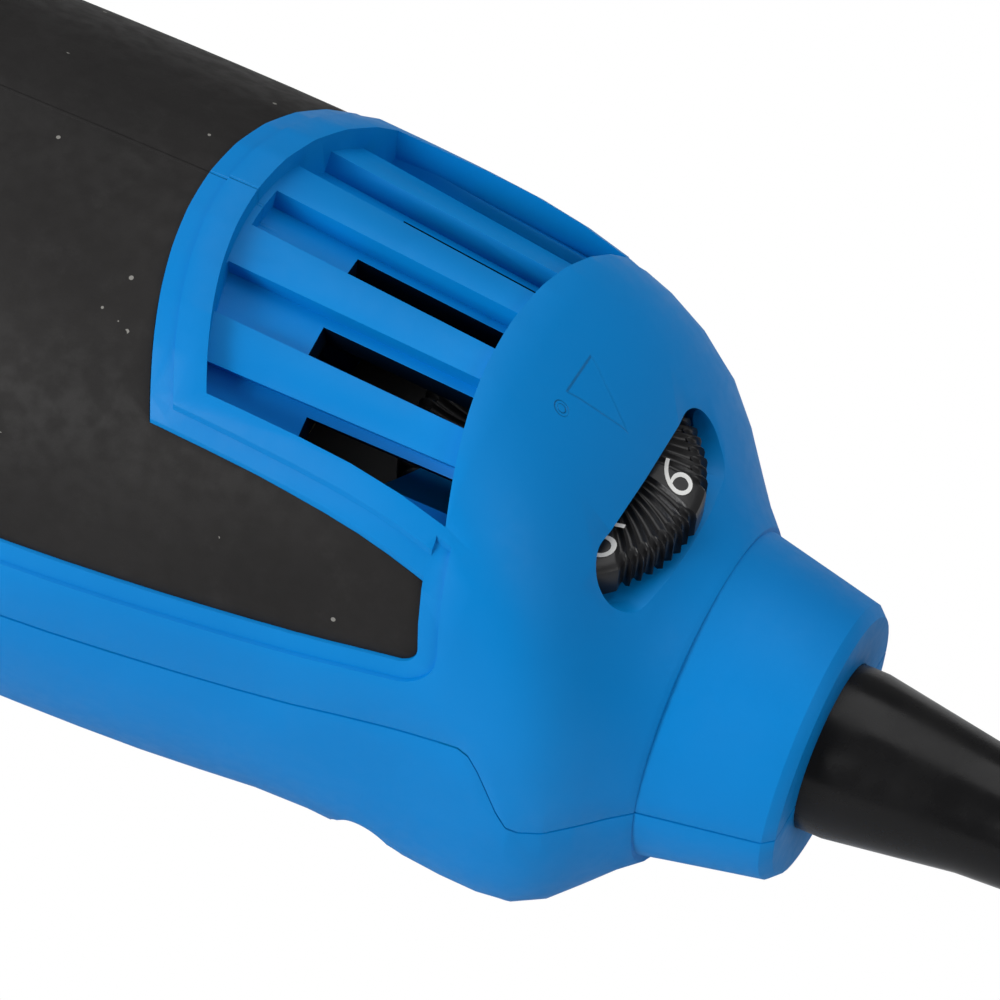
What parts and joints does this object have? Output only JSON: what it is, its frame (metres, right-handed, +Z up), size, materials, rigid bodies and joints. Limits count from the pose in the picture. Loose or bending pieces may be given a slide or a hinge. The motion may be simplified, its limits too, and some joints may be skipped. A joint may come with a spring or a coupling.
{
  "type": "rotary hobby tool",
  "caption": "Hand-held rotary hobby tool with a collet, louvred air vent, numbered speed dial, slide switch, spindle lock and folded mains lead.",
  "frame": {"origin": "centre of the collet's mouth, on the spindle's axis", "axes": "+X along the spindle towards the mains lead, +Z up out of the vent and switch side, +Y to the right seen from the nose"},
  "size_m": [0.508, 0.0594, 0.0523],
  "materials": {
    "blue_plastic": "satin moulded plastic, bright blue",
    "grip_rubber": "matte soft elastomer, black",
    "black_plastic": "satin moulded plastic, black",
    "bright_steel": "turned and ground steel",
    "dark_iron": "stacked laminations, dark",
    "copper_wire": "enamelled copper, satin",
    "white_plastic": "plain moulded nylon",
    "brass_tube": "drawn brass, satin",
    "carbon": "pressed carbon, matte",
    "dial_plastic": "satin moulded plastic, black with white printed numbers",
    "cream_plastic": "dipped plastic, semi-gloss",
    "cord_rubber": "smooth black cable rubber, semi-gloss",
    "plated_brass": "nickel-plated brass"
  },
  "bodies": {
    "root": {"top_shell": "blue_plastic", "bottom_shell": "blue_plastic", "grip": "grip_rubber", "nose_ring": "black_plastic", "nose_cap": "black_plastic", "front_bearing": "bright_steel", "spindle_bearing": "bright_steel", "motor_front_bearing": "bright_steel", "motor_rear_bearing": "bright_steel", "bearing_boot": "grip_rubber", "field_core": "dark_iron", "field_winding": "copper_wire", "brush_holders": "brass_tube", "brushes": "carbon", "brush_springs": "bright_steel", "brush_caps": "black_plastic", "lock_spring": "bright_steel", "switch_block": "black_plastic", "speed_module": "black_plastic", "capacitor": "cream_plastic", "cord_clamp": "black_plastic", "clamp_screws": "bright_steel", "case_screws": "bright_steel", "cord_sleeve": "cord_rubber", "cord_inner": "cord_rubber", "cord_lead": "cord_rubber", "cord_tail": "cord_rubber", "cord_coil": "cord_rubber", "coil_tie": "black_plastic", "plug_body": "cord_rubber", "plug_pins": "plated_brass"},
    "rotor": {"collet": "bright_steel", "spindle": "bright_steel", "lock_collar": "bright_steel", "coupling": "grip_rubber", "armature_shaft": "bright_steel", "armature_core": "dark_iron", "armature_winding": "copper_wire", "commutator": "copper_wire", "fan": "white_plastic"},
    "nut": {"collet_nut": "bright_steel"},
    "dial": {"speed_dial": "dial_plastic"},
    "switch": {"switch_knob": "blue_plastic"},
    "lock": {"lock_button": "blue_plastic"}
  },
  "joints": [
    {"name": "spindle_turn", "type": "hinge", "parent": "root", "child": "rotor", "pos_m": [0.1, 0, 0], "axis": [1, 0, 0], "continuous": true},
    {"name": "nut_turn", "type": "hinge", "parent": "rotor", "child": "nut", "pos_m": [0.006, 0, 0], "axis": [1, 0, 0], "range_deg": [0, 360]},
    {"name": "lock_press", "type": "slide", "parent": "root", "child": "lock", "axis": [0, 0, -1], "range_m": [0, 0.002], "stiffness_N_per_m": 600, "springref_m": -0.0015, "deforming": ["lock_spring"]},
    {"name": "switch_slide", "type": "slide", "parent": "root", "child": "switch", "axis": [-1, 0, 0], "range_m": [0, 0.004]},
    {"name": "dial_turn", "type": "hinge", "parent": "root", "child": "dial", "pos_m": [0.1977, 0, 0.00915], "axis": [0, 0, 1], "range_deg": [0, 300]}
  ]
}
